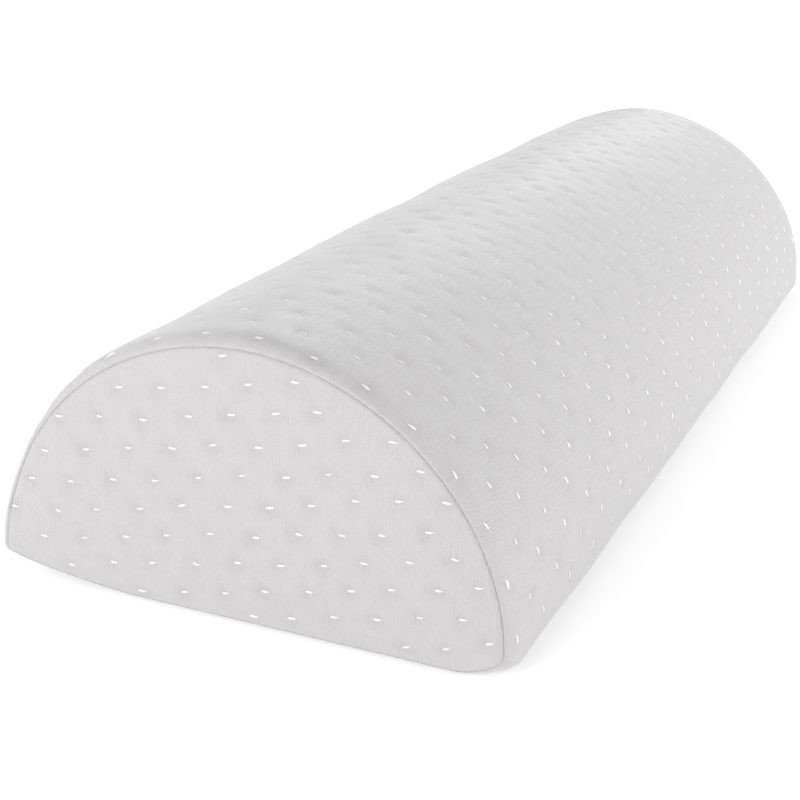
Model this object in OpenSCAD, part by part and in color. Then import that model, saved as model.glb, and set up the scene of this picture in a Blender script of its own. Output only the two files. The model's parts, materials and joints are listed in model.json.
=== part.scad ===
// Half-moon bolster pillow: a D-section foam core in a sewn liner and a zipped knit cover.
// Millimetres. Length along X, arch over Y, +Z up, origin at the centre of the flat base.

/* [Body] */
// Overall length, over the crowns of both end panels
body_l = 520; // [516:1:700]
// Overall width of the base
body_w = 200; // [180:1:240]
// Overall height of the arch
body_h = 104; // [98:1:120]
// Radius of the two long lower edges
corner_r = 10; // [8:0.5:12]
// Radius with which the wrap rolls over into each end seam
rim_r = 7; // [6.5:0.5:9]
// How far each end panel bulges at its middle
end_crown = 3; // [1:0.5:5]
// Angle between two facets of the arch, in degrees
facet_a = 5; // [3:1:10]

/* [Cover, liner and foam] */
// Thickness of the padded knit
cover_t = 2.6; // [2.2:0.1:2.6]
// Distance of the end seams inside the outer surface
seam_in = 4; // [3.5:0.1:4.5]
// Width of the open seam line, where the thread lies
seam_gap = 0.4; // [0.4:0.1:0.6]
// Distance of the liner inside the outer surface
liner_in = 4.9; // [4.8:0.1:5]
// Thickness of the liner cloth
liner_t = 0.5; // [0.4:0.1:0.5]
// Distance of the foam inside the outer surface
foam_in = 5.6; // [5.6:0.1:5.9]

/* [Zip] */
// Height of the zip's middle line above the base
zip_z = 20; // [18:1:40]
// Length of the two coils
coil_l = 444; // [300:1:444]
// Width of the gap in the wrap that shows the zip
gap_w = 12; // [11:0.5:14]
// Width of each tape
tape_w = 13.3; // [11:0.1:14]
// Thickness of each tape
tape_t = 0.5; // [0.4:0.1:0.5]
// Width of each coil
coil_w = 2.4; // [2:0.1:2.4]
// Thickness of each coil
coil_t = 2.05; // [1.8:0.05:2.1]

/* [Slider and pull] */
// Length of the slider body
slider_l = 11; // [10:0.5:12]
// Width of the slider body at its front
slider_w = 9.8; // [9.6:0.1:10.4]
// Thickness of the slider's upper plate
plate_t = 1.2; // [1:0.1:1.2]
// Width of the bridge that holds the pull tab
bridge_w = 2.2; // [2:0.1:2.4]
// Height of the tunnel under the bridge
tunnel_h = 2; // [1.9:0.1:2.4]
// Length of the pull tab
tab_l = 24; // [18:1:25]
// Width of the pull tab
tab_w = 6.5; // [6:0.1:8]
// Thickness of the pull tab and of the bar that it turns on
tab_t = 1.3; // [1:0.1:1.3]
// How far the pull tab leans towards the cloth at rest, in degrees
tab_lean = 2.5; // [0:0.5:2.5]

/* [Hidden] */
$fn = 32;
eps = 0.01;
// beyond every surface, for cutting tools
far = body_l;

// The D section: one big arc over two corner arcs on a flat base
corner_y = body_w / 2 - corner_r;
arc_z = (pow(body_h - corner_r, 2) - pow(corner_y, 2) - pow(corner_r, 2))
    / (2 * (body_h - 2 * corner_r));
arc_r = body_h - arc_z;
// where the rounded rims start, along X
rim_x = body_l / 2 - end_crown - rim_r;
// the smallest corner radius that an inner outline keeps
least_r = 1;
corner_steps = 4;
corner_a = atan2(corner_r - arc_z, corner_y);
arch_steps = round((180 - 2 * corner_a) / facet_a);
rim_steps = 3;
// the end's dome: distance inside the D, and share of the crown
dome = [[18, 0.6], [40, 1]];

// The liner's seam, and the room round a seam's thread
liner_seam_in = liner_in + 1.1;
liner_seam_gap = 0.3;
liner_thread_in = liner_in + 0.1;
liner_thread_t = 0.3;
cover_thread_in = 0.5;
cover_thread_t = 0.8;
thread_room = 0.05;

// The zip, in a frame with X along it, Y out of the cloth and Z up across it.
// The tapes lie just under the wrap, and the coils on the tapes.
tape_in = cover_t + 0.1;
// half the open line between the two coils, where the slider's post runs
half_open = 0.7;
// how deep a strip's cutting box reaches into the section
strip_deep = 8;
coil_bottom = -tape_in + 0.15;
// how far the gap in the wrap runs past the coils, and the tapes past the gap
gap_spare = 18;
tape_spare = 4;
gap_l = coil_l + 2 * gap_spare;
tape_l = gap_l + 2 * tape_spare;
stop_l = 2.6;
stop_t = coil_t + 0.4;
stop_half_w = 3.4;
stop_open = half_open + 0.1;
top_stop_gap = 0.9;
bottom_stop_gap = 0.4;

// Sewing thread on the cloth's outer face
stitch_s = gap_w / 2 + 2.5;
thread_w = 0.5;
thread_lift = 0.35;
thread_lie = 0.02;
tack_w = 2;
tack_gap = 1;

// The care label, between the cover and the liner
label_x = 160;
label_l = 40;
label_up = 34;
label_w = 30;
label_in = tape_in + 0.3;
label_t = 0.6;

// Slider levels, measured out of the cloth from the wrap's outer surface
plate_bottom = -0.3;
plate_top = plate_bottom + plate_t;
flange_w = 0.9;
flange_bottom = -tape_in + 0.35;
foot_top = -tape_in - tape_t - 0.5;
foot_t = 0.7;
post_w = 0.9;
post_l = 2.2;
post_back = 0.3;
plate_round = 1.2;
rear_w = slider_w - 1.2;
bar_r = tab_t / 2;
pivot_n = plate_top + tunnel_h / 2;
bridge_l = 7.4;
bridge_leg = 1.2;
bridge_t = 0.9;
window_w = bridge_w + 0.8;
window_l = 5.2;
hole_r = 1.1;
slider_x = -coil_l / 2 + slider_l / 2;

// Points on an arc, from angle a to angle b in n equal steps
function arc(y, z, r, a, b, n) =
    [for (k = [0:n]) let (t = a + (b - a) * k / n) [y + r * cos(t), z + r * sin(t)]];

// The D outline at a distance inside the outer surface
function d_outline(inset) =
    let (
        r = max(corner_r - inset, least_r),
        z = inset + r,
        y = sqrt(pow(arc_r - inset - r, 2) - pow(z - arc_z, 2)),
        a = atan2(z - arc_z, y)
    )
    concat(
        arc(y, z, r, -90, a, corner_steps),
        [for (k = [1:arch_steps - 1]) let (t = a + (180 - 2 * a) * k / arch_steps)
            [(arc_r - inset) * cos(t), arc_z + (arc_r - inset) * sin(t)]],
        arc(-y, z, r, 180 - a, 270, corner_steps)
    );

// The D outline as a prism from x0 to x1
module d_prism(inset, x0, x1)
    translate([x0, 0, 0])
        rotate([90, 0, 90])
            linear_extrude(x1 - x0)
                polygon(d_outline(inset));

// A point of the rounded rim, as [distance inside the D, x], on the layer at distance d
function rim_point(d, a) = [rim_r - (rim_r - d) * cos(a), rim_x + (rim_r - d) * sin(a)];
// The angle round the rim at which that layer reaches the seam
function seam_a(d, seam) = acos((rim_r - seam) / (rim_r - d));
// Rim points of one layer between two angles
function rim_path(d, a, b) =
    [for (k = [0:rim_steps]) rim_point(d, a + (b - a) * k / rim_steps)];
// The domed part of the end, from the rim to its crown
function dome_path(d) =
    [for (p = dome) [p[0], rim_x + rim_r - d + p[1] * end_crown]];
// The other end's path, so that both join into one
function mirrored(path) =
    [for (k = [len(path) - 1:-1:0]) [path[k][0], -path[k][1]]];
function backwards(path) = [for (k = [len(path) - 1:-1:0]) path[k]];

// The solid that a path sweeps round the D. An open path starts and ends in flat caps.
module sweep_round(path, closed) {
    n = len(d_outline(0));
    m = len(path);
    points = [for (p = path) each [for (q = d_outline(p[0])) [p[1], q[0], q[1]]]];
    sides = [for (j = [0:closed ? m - 1 : m - 2]) each [for (k = [0:n - 1])
        let (j2 = (j + 1) % m, k2 = (k + 1) % n)
        [j * n + k, j2 * n + k, j2 * n + k2, j * n + k2]]];
    caps = closed ? [] : [
        [for (k = [0:n - 1]) k],
        [for (k = [n - 1:-1:0]) (m - 1) * n + k]
    ];
    polyhedron(points, concat(sides, caps));
}

// The pillow's whole shape at a distance inside the outer surface
module pillow(d) {
    right = concat(rim_path(d, 0, 90), dome_path(d));
    sweep_round(concat(mirrored(right), right), false);
}

// A sewn tube of cloth, open inside both end seams
module cloth_wrap(d, t, seam) {
    right = concat(
        rim_path(d, 0, seam_a(d, seam)),
        rim_path(d + t, seam_a(d + t, seam), 0)
    );
    sweep_round(concat(right, mirrored(right)), true);
}

// The right end panel inside its seam
module cloth_end(d, t, seam)
    sweep_round(
        concat(
            backwards(concat(rim_path(d + t, seam_a(d + t, seam), 90), dome_path(d + t))),
            rim_path(d, seam_a(d, seam), 90),
            dome_path(d)
        ),
        false
    );

// The thread in the right end's seam, t deep and w wide
module seam_thread(d, t, seam, w)
    sweep_round(
        [
            rim_point(d, seam_a(d, seam)),
            rim_point(d, seam_a(d, seam + w)),
            rim_point(d + t, seam_a(d + t, seam + w)),
            rim_point(d + t, seam_a(d + t, seam))
        ],
        true
    );

// A frame on the arch at height z: X along the body, Y out of the cloth, Z up along it
module at_arch(z) {
    tilt = asin((z - arc_z) / arc_r);
    translate([0, arc_r * cos(tilt), z])
        rotate([tilt, 0, 0])
            children();
}

module at_zip()
    at_arch(zip_z)
        children();

// A strip that follows the D surface at height z, from s0 to s1 across
module strip(z, inset, t, x0, x1, s0, s1)
    intersection() {
        difference() {
            d_prism(inset, x0, x1);
            d_prism(inset + t, x0 - 1, x1 + 1);
        }
        at_arch(z)
            translate([x0 - 1, -strip_deep, s0])
                cube([x1 - x0 + 2, 2 * strip_deep, s1 - s0]);
    }

module foam_core()
    color("#f2ead2")
        pillow(foam_in);

module liner_wrap()
    color("#ececea")
        cloth_wrap(liner_in, liner_t, liner_seam_in);

module liner_end_right()
    color("#e6e6e4")
        cloth_end(liner_in, liner_t, liner_seam_in + liner_seam_gap);

module liner_end_left()
    mirror([1, 0, 0])
        liner_end_right();

module liner_seams()
    color("#d8d8d6")
        for (side = [0, 1])
            mirror([side, 0, 0])
                seam_thread(liner_thread_in, liner_thread_t, liner_seam_in + thread_room,
                    liner_seam_gap - 2 * thread_room);

module cover_wrap()
    color("#f4f3f5")
        difference() {
            cloth_wrap(0, cover_t, seam_in);
            at_zip()
                translate([-gap_l / 2, -strip_deep, -gap_w / 2])
                    cube([gap_l, 2 * strip_deep, gap_w]);
        }

module cover_end_right()
    color("#ededf0")
        cloth_end(0, cover_t, seam_in + seam_gap);

module cover_end_left()
    mirror([1, 0, 0])
        cover_end_right();

module end_seam_right()
    color("#c9c9cc")
        seam_thread(cover_thread_in, cover_thread_t, seam_in + thread_room,
            seam_gap - 2 * thread_room);

module end_seam_left()
    mirror([1, 0, 0])
        end_seam_right();

module zip_tape_upper()
    color("#f7f7f7")
        strip(zip_z, tape_in, tape_t, -tape_l / 2, tape_l / 2,
            half_open, half_open + tape_w);

module zip_tape_lower()
    color("#f7f7f7")
        strip(zip_z, tape_in, tape_t, -tape_l / 2, tape_l / 2,
            -half_open - tape_w, -half_open);

// One coil's envelope, with its rounded outer edges
module coil_bar()
    translate([-coil_l / 2, 0, 0])
        rotate([90, 0, 90])
            linear_extrude(coil_l) {
                translate([coil_bottom, half_open])
                    square([coil_t, coil_w - coil_t / 2]);
                translate([coil_bottom + coil_t / 2, half_open + coil_w - coil_t / 2])
                    circle(coil_t / 2);
            }

module zip_coil_upper()
    color("#fbfbfb")
        at_zip()
            coil_bar();

module zip_coil_lower()
    color("#fbfbfb")
        at_zip()
            mirror([0, 0, 1])
                coil_bar();

// A crimped stop between two distances across the zip
module stop(x, s0, s1)
    at_zip()
        translate([x, coil_bottom, s0])
            cube([stop_l, stop_t, s1 - s0]);

module zip_top_stops()
    color("#e8e8ea") {
        stop(-coil_l / 2 - top_stop_gap - stop_l, stop_open, stop_half_w);
        stop(-coil_l / 2 - top_stop_gap - stop_l, -stop_half_w, -stop_open);
    }

module zip_bottom_stop()
    color("#e8e8ea")
        stop(coil_l / 2 + bottom_stop_gap, -stop_half_w, stop_half_w);

module zip_topstitch()
    color("#dcdcdf")
        for (s = [-stitch_s, stitch_s])
            strip(zip_z, -thread_lift, thread_lift - thread_lie, -gap_l / 2, gap_l / 2,
                s - thread_w / 2, s + thread_w / 2);

module bar_tacks()
    color("#dcdcdf")
        for (side = [0, 1])
            mirror([side, 0, 0])
                strip(zip_z, -thread_lift, thread_lift - thread_lie,
                    gap_l / 2 + tack_gap, gap_l / 2 + tack_gap + tack_w,
                    -gap_w / 2, gap_w / 2);

module care_label()
    color("#ffffff")
        strip(zip_z + label_up, label_in, label_t, label_x, label_x + label_l,
            -label_w / 2, label_w / 2);

module at_slider()
    at_zip()
        translate([slider_x, 0, 0])
            children();

// A flat plate of the slider, from its level n downwards
module plate(n, t)
    translate([0, n, 0])
        rotate([90, 0, 0])
            linear_extrude(t)
                offset(r = plate_round)
                    polygon([
                        [-slider_l / 2 + plate_round, slider_w / 2 - plate_round],
                        [-slider_l / 2 + plate_round, -slider_w / 2 + plate_round],
                        [slider_l / 2 - plate_round, -rear_w / 2 + plate_round],
                        [slider_l / 2 - plate_round, rear_w / 2 - plate_round]
                    ]);

module zip_slider()
    color("#e4e4e6")
        at_slider() {
            plate(plate_top, plate_t);
            plate(foot_top, foot_t);
            // the post between the plates, in the open line between the coils
            translate([-slider_l / 2 + post_back, foot_top - eps, -post_w / 2])
                cube([post_l, plate_bottom - foot_top + 2 * eps, post_w]);
            // the flanges that hold the coils together
            for (side = [0, 1])
                mirror([0, 0, side])
                    translate([-slider_l / 4, flange_bottom, rear_w / 2 - flange_w])
                        cube([slider_l / 2, plate_bottom - flange_bottom + eps, flange_w]);
            // the bridge
            for (x = [-bridge_l / 2, bridge_l / 2 - bridge_leg])
                translate([x, plate_top - eps, -bridge_w / 2])
                    cube([bridge_leg, tunnel_h + 2 * eps, bridge_w]);
            translate([-bridge_l / 2, plate_top + tunnel_h, -bridge_w / 2])
                cube([bridge_l, bridge_t, bridge_w]);
        }

module tab_outline()
    difference() {
        union() {
            translate([0, -tab_w / 2])
                square([tab_l - tab_w / 2, tab_w]);
            translate([tab_l - tab_w / 2, 0])
                circle(tab_w / 2);
        }
        translate([-1, -window_w / 2])
            square([window_l + 1, window_w]);
        translate([tab_l - tab_w / 2, 0])
            circle(hole_r);
    }

module zip_pull()
    color("#e4e4e6")
        at_slider()
            translate([0, pivot_n, 0])
                rotate([0, 0, -tab_lean]) {
                    translate([0, bar_r, 0])
                        rotate([90, 0, 0])
                            linear_extrude(tab_t)
                                tab_outline();
                    // the bar that turns in the tunnel
                    translate([0, 0, -tab_w / 2])
                        cylinder(h = tab_w, r = bar_r);
                }

foam_core();
liner_wrap();
liner_end_left();
liner_end_right();
liner_seams();
cover_wrap();
cover_end_left();
cover_end_right();
end_seam_left();
end_seam_right();
zip_tape_upper();
zip_tape_lower();
zip_coil_upper();
zip_coil_lower();
zip_top_stops();
zip_bottom_stop();
zip_topstitch();
bar_tacks();
care_label();
zip_slider();
zip_pull();
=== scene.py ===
"""The looks of a half-moon bolster pillow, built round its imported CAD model. Metres, CAD frame.

Coordinates on the cloth: u runs round the section from the zip over the arch, v along the body.
"""

import json
import math
import bpy
import numpy as np
from mathutils import Matrix, Vector
from mathutils.geometry import delaunay_2d_cdt


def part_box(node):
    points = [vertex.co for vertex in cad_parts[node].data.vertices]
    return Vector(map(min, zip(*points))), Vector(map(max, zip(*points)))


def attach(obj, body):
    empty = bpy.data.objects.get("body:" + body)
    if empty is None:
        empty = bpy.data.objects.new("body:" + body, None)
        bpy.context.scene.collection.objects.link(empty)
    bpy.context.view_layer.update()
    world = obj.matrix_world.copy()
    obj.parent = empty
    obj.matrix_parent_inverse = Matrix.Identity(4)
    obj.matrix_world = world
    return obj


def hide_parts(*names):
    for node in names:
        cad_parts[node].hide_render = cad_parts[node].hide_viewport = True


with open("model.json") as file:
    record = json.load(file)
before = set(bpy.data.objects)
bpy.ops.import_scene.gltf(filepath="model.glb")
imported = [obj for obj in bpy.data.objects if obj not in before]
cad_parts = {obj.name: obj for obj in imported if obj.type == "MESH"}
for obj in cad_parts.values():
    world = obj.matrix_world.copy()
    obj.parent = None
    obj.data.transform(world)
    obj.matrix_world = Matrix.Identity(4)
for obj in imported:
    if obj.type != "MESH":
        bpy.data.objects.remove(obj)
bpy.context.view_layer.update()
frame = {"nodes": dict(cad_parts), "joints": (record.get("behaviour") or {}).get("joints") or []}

MM = 0.001
RNG = np.random.default_rng(11)

# ---- the body's shape -------------------------------------------------------------------
HALF_W = round(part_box("cover_wrap")[1].y, 3)
TOP_Z = round(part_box("cover_wrap")[1].z, 3)
END_X = round(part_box("cover_end_right")[1].x, 3)
END_CROWN = 3 * MM
RIM_R = 7 * MM
RIM_X = END_X - END_CROWN - RIM_R
# height at which the arch stands on its two lower edges
EDGE_Z = 6.5 * MM
ARCH_POWER = 1.96
EDGE_POWER = 1.47
# where the flat of the base ends, as shares of the half width: crisp in front, soft behind
FRONT_SHARE = 0.82
BACK_SHARE = 0.44
# how much the arch swells at the middle of its length
LENGTH_CROWN = 1.8 * MM
# how far the soft back corner spreads at both rims
RIM_SPREAD = 1.8 * MM
COVER_T = 2.2 * MM
LINER_IN = 4.9 * MM
LINER_T = 0.45 * MM
FOAM_IN = 5.6 * MM
# the rim rolls over with its own radius to this angle, and then tightly into the seam
ROLL_A = math.radians(58)
TUCK_A = math.radians(140)
TUCK_R = 0.9 * MM
V_ROLL = RIM_X + RIM_R * ROLL_A
V_SEAM = V_ROLL + TUCK_R * (TUCK_A - ROLL_A)
PANEL_IN = 4.5 * MM
# the share of the rim's depth that is left at the base, where the pillow's weight closes it
RIM_LIFT = 0.3

# ---- the zip's frame --------------------------------------------------------------------
hinge = next(j for j in frame["joints"] if j["name"] == "pull_hinge")
ZIP_S = np.array(hinge["axis"], float)
ZIP_N = np.array([0.0, ZIP_S[2], -ZIP_S[1]])
ZIP_X = np.array([1.0, 0.0, 0.0])
# height of the pull tab's pivot over the cover's surface
PIVOT_N = 1.9 * MM
ZIP_Z = hinge["pos_m"][2] - ZIP_N[2] * PIVOT_N
COIL_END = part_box("zip_coil_upper")[1].x
TAPE_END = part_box("zip_tape_upper")[1].x
TACK_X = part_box("bar_tacks")[1].x - 1 * MM
# half the length and half the width of the wrap's opening, and the topstitching's distance
GAP_X = TACK_X - 2 * MM
GAP_S = 6 * MM
STITCH_S = 8.5 * MM

# ---- the pattern of satin dashes --------------------------------------------------------
PITCH_U = 20.0 * MM
PITCH_V = 13.125 * MM
FIRST_V = -2.9 * MM
# the first dash's distance from the top line of the arch
FIRST_U = -4.1 * MM
DASH_L = 3.5 * MM
DASH_W = 0.82 * MM
# how far a dash stands above the knit, how deep its ends dive, and how far its strands are offset
FLOAT_LIFT = 0.5 * MM
FLOAT_SINK = 0.3 * MM
FLOAT_SKEW = 0.4 * MM
# length, width, lift, sink and skew of a dash and of each kind of stitch
SATIN = (DASH_L, DASH_W, FLOAT_LIFT, FLOAT_SINK, FLOAT_SKEW)
SEAM_STITCH = (2.5 * MM, 0.4 * MM, 0.15 * MM, 0.1 * MM, 0)
LINER_STITCH = (2.9 * MM, 0.4 * MM, 0.2 * MM, 0.1 * MM, 0)
TOP_STITCH = (3.0 * MM, 0.5 * MM, 0.4 * MM, 0.25 * MM, 0)
TACK_STITCH = (2.3 * MM, 0.62 * MM, 0.35 * MM, 0.25 * MM, 0)


def smoothstep(lo, hi, x):
    t = np.clip((x - lo) / (hi - lo), 0, 1)
    return t * t * (3 - 2 * t)


def section(q, inset, low=None):
    """(y, z) of the D section at q, from 0 to 5, on the layer at distance inset inside.

    low is the height of that layer's flat base, and is inset itself if it isn't given.
    """
    q = np.mod(np.asarray(q, float), 5)
    q, inset, low = np.broadcast_arrays(q, np.asarray(inset, float), inset if low is None else low)
    half = HALF_W - inset
    rise = np.maximum(EDGE_Z + 0.6 * inset, low + 0.5 * MM)
    front, back = half * FRONT_SHARE, half * BACK_SHARE
    a = np.clip(q, 0, 2) * math.pi / 2
    c, s = np.cos(a), np.clip(np.sin(a), 0, 1)
    y = half * np.sign(c) * np.abs(c) ** (2 / ARCH_POWER)
    z = rise + (TOP_Z - inset - rise) * s ** (2 / ARCH_POWER)
    for start, edge, sign in ((2, front, -1), (4, back, 1)):
        t = np.clip(q - start, 0, 1) * math.pi / 2
        if sign > 0:
            t = math.pi / 2 - t
        c, s = np.clip(np.cos(t), 0, 1), np.clip(np.sin(t), 0, 1)
        here = (q >= start) & (q < start + 1)
        y = np.where(here, sign * (edge + (half - edge) * c ** (2 / EDGE_POWER)), y)
        z = np.where(here, rise - (rise - low) * s ** (2 / EDGE_POWER), z)
    flat = (q >= 3) & (q < 4)
    y = np.where(flat, -front + (front + back) * (q - 3), y)
    z = np.where(flat, low, z)
    return y, z


def outline_table():
    """(q, length from the zip) all the way round, starting at the zip's middle line."""
    near = np.linspace(0.02, 0.5, 4000)
    start = near[np.argmin(np.abs(section(near, 0)[1] - ZIP_Z))]
    q = start + np.linspace(0, 5, 12001)
    y, z = section(q, 0)
    return q, np.concatenate([[0], np.cumsum(np.hypot(np.diff(y), np.diff(z)))])


TABLE_Q, TABLE_U = outline_table()
ROUND = TABLE_U[-1]
TOP_U = np.interp(1, TABLE_Q, TABLE_U)


def q_of(u):
    return np.interp(np.mod(u, ROUND), TABLE_U, TABLE_Q)


def from_zip(u):
    """Distance round the section from the zip's middle line, the shorter way."""
    return np.minimum(np.mod(u, ROUND), ROUND - np.mod(u, ROUND))


def rim_profile(v, inset):
    """(distance inside the D, x) at v: straight, over the rim, and into the seam."""
    a = np.clip((np.abs(v) - RIM_X) / RIM_R, 0, ROLL_A)
    r = RIM_R - inset
    depth = RIM_R - r * np.cos(a)
    x = np.minimum(np.abs(v), RIM_X) + r * np.sin(a)
    b = ROLL_A + np.clip((np.abs(v) - V_ROLL) / TUCK_R, 0, TUCK_A - ROLL_A)
    depth = depth + TUCK_R * (math.cos(ROLL_A) - np.cos(b))
    x = x + TUCK_R * (np.sin(b) - math.sin(ROLL_A))
    return depth, x * np.sign(v)


def rim_spread(y, z):
    """How far the low back corner of the section spreads at the rims."""
    low_back = (y > 0) * (1 - smoothstep(8 * MM, 44 * MM, z)) * smoothstep(60 * MM, 95 * MM, y)
    return RIM_SPREAD * low_back


def wrap_base(u, v, inset=0.0):
    """The smooth layer's points at u and v, which are arrays of one shape."""
    depth, x = rim_profile(v, inset)
    y, z = section(q_of(u), depth, inset + RIM_LIFT * (depth - inset))
    angle = np.arctan2(z, y)
    back_side = smoothstep(30 * MM, 62 * MM, z)
    front_side = smoothstep(6 * MM, 40 * MM, z)
    share = np.where(y > 0, back_side, front_side)
    swell = LENGTH_CROWN * share * np.clip(1 - (x / RIM_X) ** 2, 0, 1)
    y = y + rim_spread(y, z) * smoothstep(COIL_END + 2 * MM, RIM_X + 2 * MM, np.abs(x))
    return np.stack([x, y + swell * np.cos(angle), z + swell * np.sin(angle)], -1)


def wrap_frame(u, v):
    """(point, direction of u, direction of v, outward normal) on the smooth wrap."""
    step = 0.25 * MM
    p = wrap_base(u, v)
    du = wrap_base(u + step, v) - wrap_base(u - step, v)
    dv = wrap_base(u, v + step) - wrap_base(u, v - step)
    du /= np.linalg.norm(du, axis=-1, keepdims=True)
    dv /= np.maximum(np.linalg.norm(dv, axis=-1, keepdims=True), 1e-9)
    n = np.cross(du, dv)
    n /= np.maximum(np.linalg.norm(n, axis=-1, keepdims=True), 1e-9)
    return p, du, dv, n


# ---- meshes -----------------------------------------------------------------------------
def new_object(name, points, faces):
    mesh = bpy.data.meshes.new(name)
    mesh.from_pydata(np.asarray(points).reshape(-1, 3).tolist(), [], faces)
    mesh.shade_smooth()
    mesh.validate()
    obj = bpy.data.objects.new(name, mesh)
    bpy.context.scene.collection.objects.link(obj)
    return obj


def piece(name, points, faces, material, body="cover", nodes=()):
    """A new piece of the object, which rides on a body and stands for CAD nodes."""
    obj = new_object(name, points, faces)
    obj.data.materials.append(MATERIALS[material])
    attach(obj, body)
    if nodes:
        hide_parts(*nodes)
    return obj


def set_cloth(obj, coords, dimple=None):
    """The cloth coordinates in millimetres, and how deep in a dimple each point is, which darkens the
    knit's colour as painted shade.
    """
    layer = obj.data.attributes.new("cloth", "FLOAT_VECTOR", "POINT")
    flat = np.zeros((len(obj.data.vertices), 3), np.float32)
    flat[:, :2] = np.asarray(coords)[:, :2] / MM
    layer.data.foreach_set("vector", flat.ravel())
    layer = obj.data.attributes.new("dimple", "FLOAT", "POINT")
    if dimple is not None:
        layer.data.foreach_set("value", np.asarray(dimple, np.float32).ravel())


def grid_faces(rows, cols, wrap_rows=False, keep=None):
    """Quads of a grid of points, stored row by row."""
    i, j = np.meshgrid(np.arange(rows if wrap_rows else rows - 1), np.arange(cols - 1), indexing="ij")
    k = (i + 1) % rows
    quads = np.stack([i * cols + j, i * cols + j + 1, k * cols + j + 1, k * cols + j], -1)
    return quads[keep] if keep is not None else quads.reshape(-1, 4)


def border(quads):
    """The edges that belong to one quad only, in that quad's direction."""
    edges = np.concatenate([np.stack([quads[:, k], quads[:, (k + 1) % quads.shape[1]]], 1)
                            for k in range(quads.shape[1])])
    seen = {}
    for a, b in edges.tolist():
        key = (min(a, b), max(a, b))
        seen[key] = None if key in seen else (a, b)
    return [e for e in seen.values() if e is not None]


def thickened(outer, inner, quads):
    """(points, faces) of a closed shell between two sheets of the same points."""
    n = len(outer)
    sides = [(b, a, a + n, b + n) for a, b in border(quads)]
    faces = quads.tolist() + (quads[:, ::-1] + n).tolist() + sides
    return np.concatenate([outer, inner]), faces


def ring_faces(rings, sides):
    """Faces of a tube whose points are stored ring by ring, with a cap at both ends."""
    i, j = np.meshgrid(np.arange(rings - 1), np.arange(sides), indexing="ij")
    k = (j + 1) % sides
    quads = np.stack([i * sides + j, i * sides + k, (i + 1) * sides + k, (i + 1) * sides + j], -1)
    caps = [list(range(sides))[::-1], list(range((rings - 1) * sides, rings * sides))]
    return quads.reshape(-1, 4).tolist() + caps


def joined(parts):
    """(points, faces) of several meshes as one."""
    faces, first = [], 0
    for points, own in parts:
        faces += [[k + first for k in face] for face in own]
        first += len(points)
    return np.concatenate([points for points, _ in parts]), faces


# ---- padding: a cloth simulation --------------------------------------------------------
SIM_FRAMES = 20
SIM_PRESSURE = 6.0


def puffed(points, quads, normals, pins, cap):
    """How far air pushes a pinned sheet out along its normals, at each point."""
    obj = new_object("padding", points, quads.tolist())
    group = obj.vertex_groups.new(name="stitched")
    group.add(np.nonzero(pins)[0].tolist(), 1.0, "REPLACE")
    cloth = obj.modifiers.new("cloth", "CLOTH")
    settings = cloth.settings
    settings.quality = 5
    settings.mass = 0.15
    settings.tension_stiffness = 1
    settings.compression_stiffness = 1
    settings.shear_stiffness = 0.5
    settings.bending_stiffness = 0.005
    settings.vertex_group_mass = "stitched"
    settings.use_pressure = True
    settings.uniform_pressure_force = SIM_PRESSURE
    settings.effector_weights.gravity = 0
    cloth.collision_settings.use_collision = False
    cloth.point_cache.frame_start = 1
    cloth.point_cache.frame_end = SIM_FRAMES
    scene = bpy.context.scene
    for k in range(1, SIM_FRAMES + 1):
        scene.frame_set(k)
        bpy.context.view_layer.update()
    done = obj.evaluated_get(bpy.context.evaluated_depsgraph_get()).data
    moved = np.zeros(len(points) * 3, np.float32)
    done.vertices.foreach_get("co", moved)
    bpy.data.objects.remove(obj)
    scene.frame_set(1)
    out = ((moved.reshape(-1, 3) - points) * normals).sum(1)
    return np.clip(out, -0.1 * cap, cap)


def cubic_rows(coords, count, periodic=False):
    """Rows of Catmull-Rom weights that read count evenly spaced values at coords, in cells."""
    base = np.floor(coords).astype(int)
    t = coords - base
    weights = (-0.5 * t + t ** 2 - 0.5 * t ** 3, 1 - 2.5 * t ** 2 + 1.5 * t ** 3,
               0.5 * t + 2 * t ** 2 - 1.5 * t ** 3, -0.5 * t ** 2 + 0.5 * t ** 3)
    rows = np.zeros((len(coords), count))
    for k, w in enumerate(weights):
        at = base - 1 + k
        at = np.mod(at, count) if periodic else np.clip(at, 0, count - 1)
        np.add.at(rows, (np.arange(len(coords)), at), w)
    return rows


# ---- dashes -----------------------------------------------------------------------------
# rows of dashes counted from the top line: as far as the zip behind, and the lower edge in front
ROWS_BEHIND = 7
ROWS_FRONT = 7


def wrap_dashes():
    """(u, v) of the satin dashes over the arch, with the knit's small unevenness."""
    found = []
    columns = int(V_ROLL / PITCH_V) + 2
    for j in range(-columns, columns + 1):
        v = FIRST_V + PITCH_V * j
        if abs(v) > V_ROLL - 1.5 * MM:
            continue
        for i in range(-ROWS_BEHIND, ROWS_FRONT + 1):
            u = TOP_U + FIRST_U + PITCH_U * (i + 0.5 * (j % 2))
            by_zip = from_zip(u) < STITCH_S + 2.5 * MM and abs(v) < TAPE_END + 4 * MM
            if u >= 0 and not by_zip:
                found.append((u, v))
    found = np.array(found)
    return found + RNG.normal(0, 0.35 * MM, found.shape)


PANEL_TILT = math.radians(11.1)
PANEL_PITCH = 17.26 * MM
PANEL_ROW = 10.67 * MM
PANEL_AT = np.array([24.4 * MM, 62.0 * MM])
# how fast the cloth is drawn in along y and let out along z, per metre from PANEL_AT
PANEL_DRAW = np.array([0.68, -0.10])
ROW_DIR = np.array([-math.cos(PANEL_TILT), math.sin(PANEL_TILT)])
RISE_DIR = np.array([math.sin(PANEL_TILT), math.cos(PANEL_TILT)])


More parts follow.
